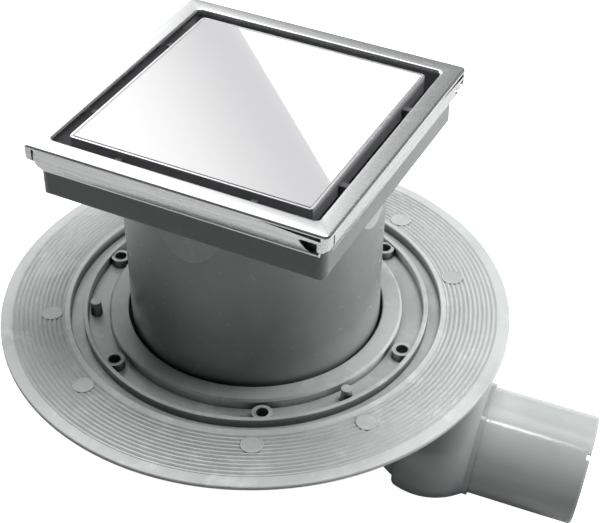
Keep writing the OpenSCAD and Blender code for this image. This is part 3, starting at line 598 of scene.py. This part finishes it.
bonding = {"rings": 12, "outerRadius": 0.1118, "pitch": 0.0021, "top": 0.075, "width": 0.0007,
           "rise": 0.00022}
screws = {"circle": 0.074, "count": 6, "boreRadius": 0.00275, "top": 0.0741, "lip": 0.0006}
ejectors = {"circle": 0.094, "angles": (37, 68, 213, 245, 297, 328), "radius": 0.0047,
            "top": 0.07515, "lip": 0.0005}
growPiece("grooveCrests", "ringStack",
          {"Rings": bonding["rings"], "Outer Radius": bonding["outerRadius"],
           "Pitch": bonding["pitch"], "Height": bonding["top"], "Bead Width": bonding["width"],
           "Bead Rise": bonding["rise"]}, "drain_body")
growPiece("boreLips", "ringOnPoints",
          {"Radius": screws["boreRadius"] + screws["lip"] / 2, "Bead Width": screws["lip"],
           "Bead Rise": screws["lip"] / 2}, "drain_body",
          onCircle(screws["circle"], [i * 360 / screws["count"] for i in range(screws["count"])],
                   screws["top"]))
growPiece("ejectorRims", "ringOnPoints",
          {"Radius": ejectors["radius"], "Bead Width": ejectors["lip"],
           "Bead Rise": ejectors["lip"] / 2}, "drain_body",
          onCircle(ejectors["circle"], ejectors["angles"], ejectors["top"]))
print("drain: crests, bore lips and ejector rims")


def refinish(node, material, test):
    # gives the faces of a node's skin that pass the test a finish of their own
    mesh = bpy.data.objects[node + "Skin"].data
    mesh.materials.append(material)
    for face in mesh.polygons:
        if test(face.normal, face.center):
            face.material_index = len(mesh.materials) - 1


for node in nodes:
    if node not in ("tray_spacers", "trap_o_ring", "ball_seal"):
        addPiece(node + "Skin", smoothCopy(node), node)

# faces are picked by their lean and by how near they lie to the outside of their node
picks = {"level": 0.99, "discDepth": 0.00002, "flatLean": (0.13, 0.17), "boxWall": 0.003,
         "trayWall": 0.0003, "upright": 0.4}
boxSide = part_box("extension_piece")[1][0] - picks["boxWall"]
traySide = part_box("tile_tray")[1][0] - picks["trayWall"]


def isDiscTop(normal, centre):
    # the pressed tops of the ejector marks
    return normal.z > picks["level"] and abs(centre.z - ejectors["top"]) < picks["discDepth"]


def isSlantingFlat(normal, centre):
    # the flats on the stem below the box
    return picks["flatLean"][0] < normal.z < picks["flatLean"][1]


def isBoxSide(normal, centre):
    return max(abs(centre.x), abs(centre.y)) > boxSide


def isTraySide(normal, centre):
    # the coated outer sides of the tray
    return abs(normal.z) < picks["upright"] and max(abs(centre.x), abs(centre.y)) > traySide


refinish("drain_body", discPaintedShadeGrey, isDiscTop)
refinish("extension_piece", facetPaintedLightGrey, isSlantingFlat)
refinish("extension_piece", boxPaintedShadeGrey, isBoxSide)
refinish("tile_tray", linerCharcoal, isTraySide)
print("skins: one for each moulded or folded node")


def sealValues(node, axis):
    # the ring's size and place follow from its node's box; axis is the one it lies round
    low, high = (Vector(corner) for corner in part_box(node))
    section = (high[axis] - low[axis]) / 2
    across = (axis + 1) % 3
    return {"Ring Radius": (high[across] - low[across]) / 2 - section, "Section": section,
            "Centre": (low + high) / 2,
            "Turn": (0, math.pi / 2, 0) if axis == 0 else (0, 0, 0)}


growPiece("ballRing", "sealRing", sealValues("ball_seal", 0), "ball_seal", replaces=True)
growPiece("trapRing", "sealRing", sealValues("trap_o_ring", 2), "trap_o_ring", replaces=True)

tabs = {"along": 0.031, "inner": 0.0554, "width": 0.003, "corner": 0.0007}
spacerLow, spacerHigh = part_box("tray_spacers")
reach = spacerHigh[0] - tabs["inner"]
middle = tabs["inner"] + reach / 2
tabPoints = [(x, y, spacerHigh[2]) for side in (-middle, middle)
             for along in (-tabs["along"], tabs["along"])
             for x, y in ((side, along), (along, side))]
growPiece("slotTabs", "slotTab",
          {"Length": reach, "Width": tabs["width"], "Depth": spacerHigh[2] - spacerLow[2],
           "Corner": tabs["corner"]}, "tray_spacers", tabPoints, replaces=True)

# the adhesive that shows as a fine pale line between the tile and its tray
grout = {"gap": 0.0002, "corner": 0.0008, "radius": 0.00022, "sunk": 0.0003}
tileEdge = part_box("tile_insert")[1]
growPiece("groutLine", "squareBead",
          {"Side": 2 * tileEdge[0] + grout["gap"], "Corner": grout["corner"],
           "Bead Radius": grout["radius"], "Height": tileEdge[2] - grout["sunk"]}, "tile_insert")
print("seal rings, slot tabs and grout line")


# the floor shows paler, to the camera and in reflections, than the light that it throws back
stage = {"floorHalf": 3.0, "floorColour": (0.85, 0.85, 0.855, 1),
         "bounceColour": (0.3, 0.3, 0.31, 1), "floorLift": 1.0, "floorRoughness": 0.9,
         "lampCentre": (0, 0, 0.12)}


def buildFloor():
    half = stage["floorHalf"]
    mesh = bpy.data.meshes.new("floor")
    mesh.from_pydata([(-half, -half, 0), (half, -half, 0), (half, half, 0), (-half, half, 0)],
                     [], [(0, 1, 2, 3)])
    floor = bpy.data.objects.new("floor", mesh)
    bpy.context.scene.collection.objects.link(floor)
    material = bpy.data.materials.new("paleFloor")
    material.use_nodes = True
    tree = material.node_tree
    shader = tree.nodes["Principled BSDF"]
    shader.inputs["Roughness"].default_value = stage["floorRoughness"]
    shader.inputs["Specular IOR Level"].default_value = 0.0
    shader.inputs["Emission Color"].default_value = (1, 1, 1, 1)
    path = tree.nodes.new("ShaderNodeLightPath").outputs
    seen = addMath(tree, "MAXIMUM", path["Is Camera Ray"], path["Is Glossy Ray"])
    tree.links.new(addMix(tree, seen, stage["bounceColour"], stage["floorColour"]),
                   shader.inputs["Base Color"])
    tree.links.new(addMath(tree, "MULTIPLY", path["Is Camera Ray"], stage["floorLift"]),
                   shader.inputs["Emission Strength"])
    mesh.materials.append(material)


# the room: white behind the object and dark on the camera's side; the far wall fades out
# towards the edge of the screen that the tile mirrors
room = {"camera": (1, 1, 1, 1), "dark": (0.10, 0.10, 0.105, 1), "wall": (2.6, 2.6, 2.6, 1),
        "dimWall": (0.28, 0.28, 0.29, 1), "diffuse": (0.02, 0.02, 0.021, 1),
        "screenEdge": (-0.638, -0.6376, 0.4317), "fade": 0.11, "back": (-0.45, 0.89, 0.0),
        "backRange": (-0.1, 0.35)}


def buildWorld():
    world = bpy.data.worlds.new("studio")
    bpy.context.scene.world = world
    world.use_nodes = True
    tree = world.node_tree
    back = tree.nodes["Background"]
    path = tree.nodes.new("ShaderNodeLightPath")
    where = tree.nodes.new("ShaderNodeTexCoord").outputs["Generated"]
    lit = addRange(tree, addDot(tree, where, room["screenEdge"]), 0.0, room["fade"])
    wall = addMix(tree, lit, room["dimWall"], room["wall"])
    behind = addRange(tree, addDot(tree, where, room["back"]), *room["backRange"])
    mirrored = addMix(tree, behind, room["dark"], wall)
    ambient = addMix(tree, path.outputs["Is Glossy Ray"], room["diffuse"], mirrored)
    tree.links.new(addMix(tree, path.outputs["Is Camera Ray"], ambient, room["camera"]),
                   back.inputs["Color"])


buildFloor()
buildWorld()


def addSoftbox(name, azimuth, elevation, size, radiance, distance=1.6, roll=0.0, mirrored=False,
               only=(), skip=()):
    # angles in degrees; radiance is the brightness of the box's face, and sets its power
    data = bpy.data.lights.new(name, "AREA")
    data.shape = "RECTANGLE"
    data.size, data.size_y = size
    data.energy = radiance * math.pi * size[0] * size[1]
    lamp = bpy.data.objects.new(name, data)
    bpy.context.scene.collection.objects.link(lamp)
    a, e = math.radians(azimuth), math.radians(elevation)
    away = Vector((math.cos(a) * math.cos(e), math.sin(a) * math.cos(e), math.sin(e)))
    turned = (away.to_track_quat("Z", "Y").to_matrix().to_4x4()
              @ Matrix.Rotation(math.radians(roll), 4, "Z"))
    lamp.matrix_world = Matrix.Translation(Vector(stage["lampCentre"]) + away * distance) @ turned
    lamp.visible_glossy = mirrored
    if only or skip:
        # a lamp lights only the pieces named, or all but the pieces named
        named = bpy.data.collections.new(name + "Named")
        for piece in only or skip:
            named.objects.link(bpy.data.objects[piece])
        for item in named.collection_objects:
            item.light_linking.link_state = "INCLUDE" if only else "EXCLUDE"
        lamp.light_linking.receiver_collection = named


addSoftbox("topBox", azimuth=116, elevation=80, size=(0.8, 0.8), radiance=6.1)
addSoftbox("sideTopBox", azimuth=20, elevation=75, size=(0.8, 0.8), radiance=4.9,
           skip=["tile_insertSkin"])
addSoftbox("sideBox", azimuth=26, elevation=20, size=(0.8, 0.6), radiance=4.1)
addSoftbox("rimBox", azimuth=45, elevation=12, size=(0.8, 0.4), radiance=13.7)
addSoftbox("fillBox", azimuth=26, elevation=60, size=(1.0, 1.0), radiance=0.62)
# a small bright box that draws the highlight along the outlet pipe
addSoftbox("glintBox", azimuth=-12.8, elevation=79.6, size=(0.12, 0.12), radiance=26.0,
           mirrored=True)
# the screen whose edge the glazed tile mirrors as a slanting line
addSoftbox("tileScreen", azimuth=109.8, elevation=30.5, size=(0.40, 1.3), radiance=3.0,
           distance=1.646, roll=34.8, mirrored=True, only=["tile_insertSkin"])

# the camera looks at the flange from the branch's side
view = {"lens": 88.62, "clipStart": 0.01, "elevation": 38.5, "turn": 26.5, "roll": 0.4,
        "distance": 0.6869, "shiftRight": 0.0203, "shiftUp": 0.0177, "aimHeight": 0.075}


def buildCamera():
    data = bpy.data.cameras.new("camera")
    data.lens = view["lens"]
    data.clip_start = view["clipStart"]
    camera = bpy.data.objects.new("camera", data)
    bpy.context.scene.collection.objects.link(camera)
    e, roll = math.radians(view["elevation"]), math.radians(view["roll"])
    forward = Vector((0, math.cos(e), -math.sin(e)))
    level, up = Vector((1, 0, 0)), Vector((0, math.sin(e), math.cos(e)))
    right = level * math.cos(roll) + up * math.sin(roll)
    upward = up * math.cos(roll) - level * math.sin(roll)
    place = level * view["shiftRight"] + up * view["shiftUp"] - forward * view["distance"]
    turned = Matrix((right, upward, -forward)).transposed().to_4x4()
    turned.translation = place
    camera.matrix_world = (Matrix.Translation((0, 0, view["aimHeight"]))
                           @ Matrix.Rotation(math.radians(view["turn"]), 4, "Z") @ turned)
    bpy.context.scene.camera = camera


buildCamera()
bpy.context.scene.view_settings.view_transform = "Standard"
print("stage: floor, world, lights and camera")
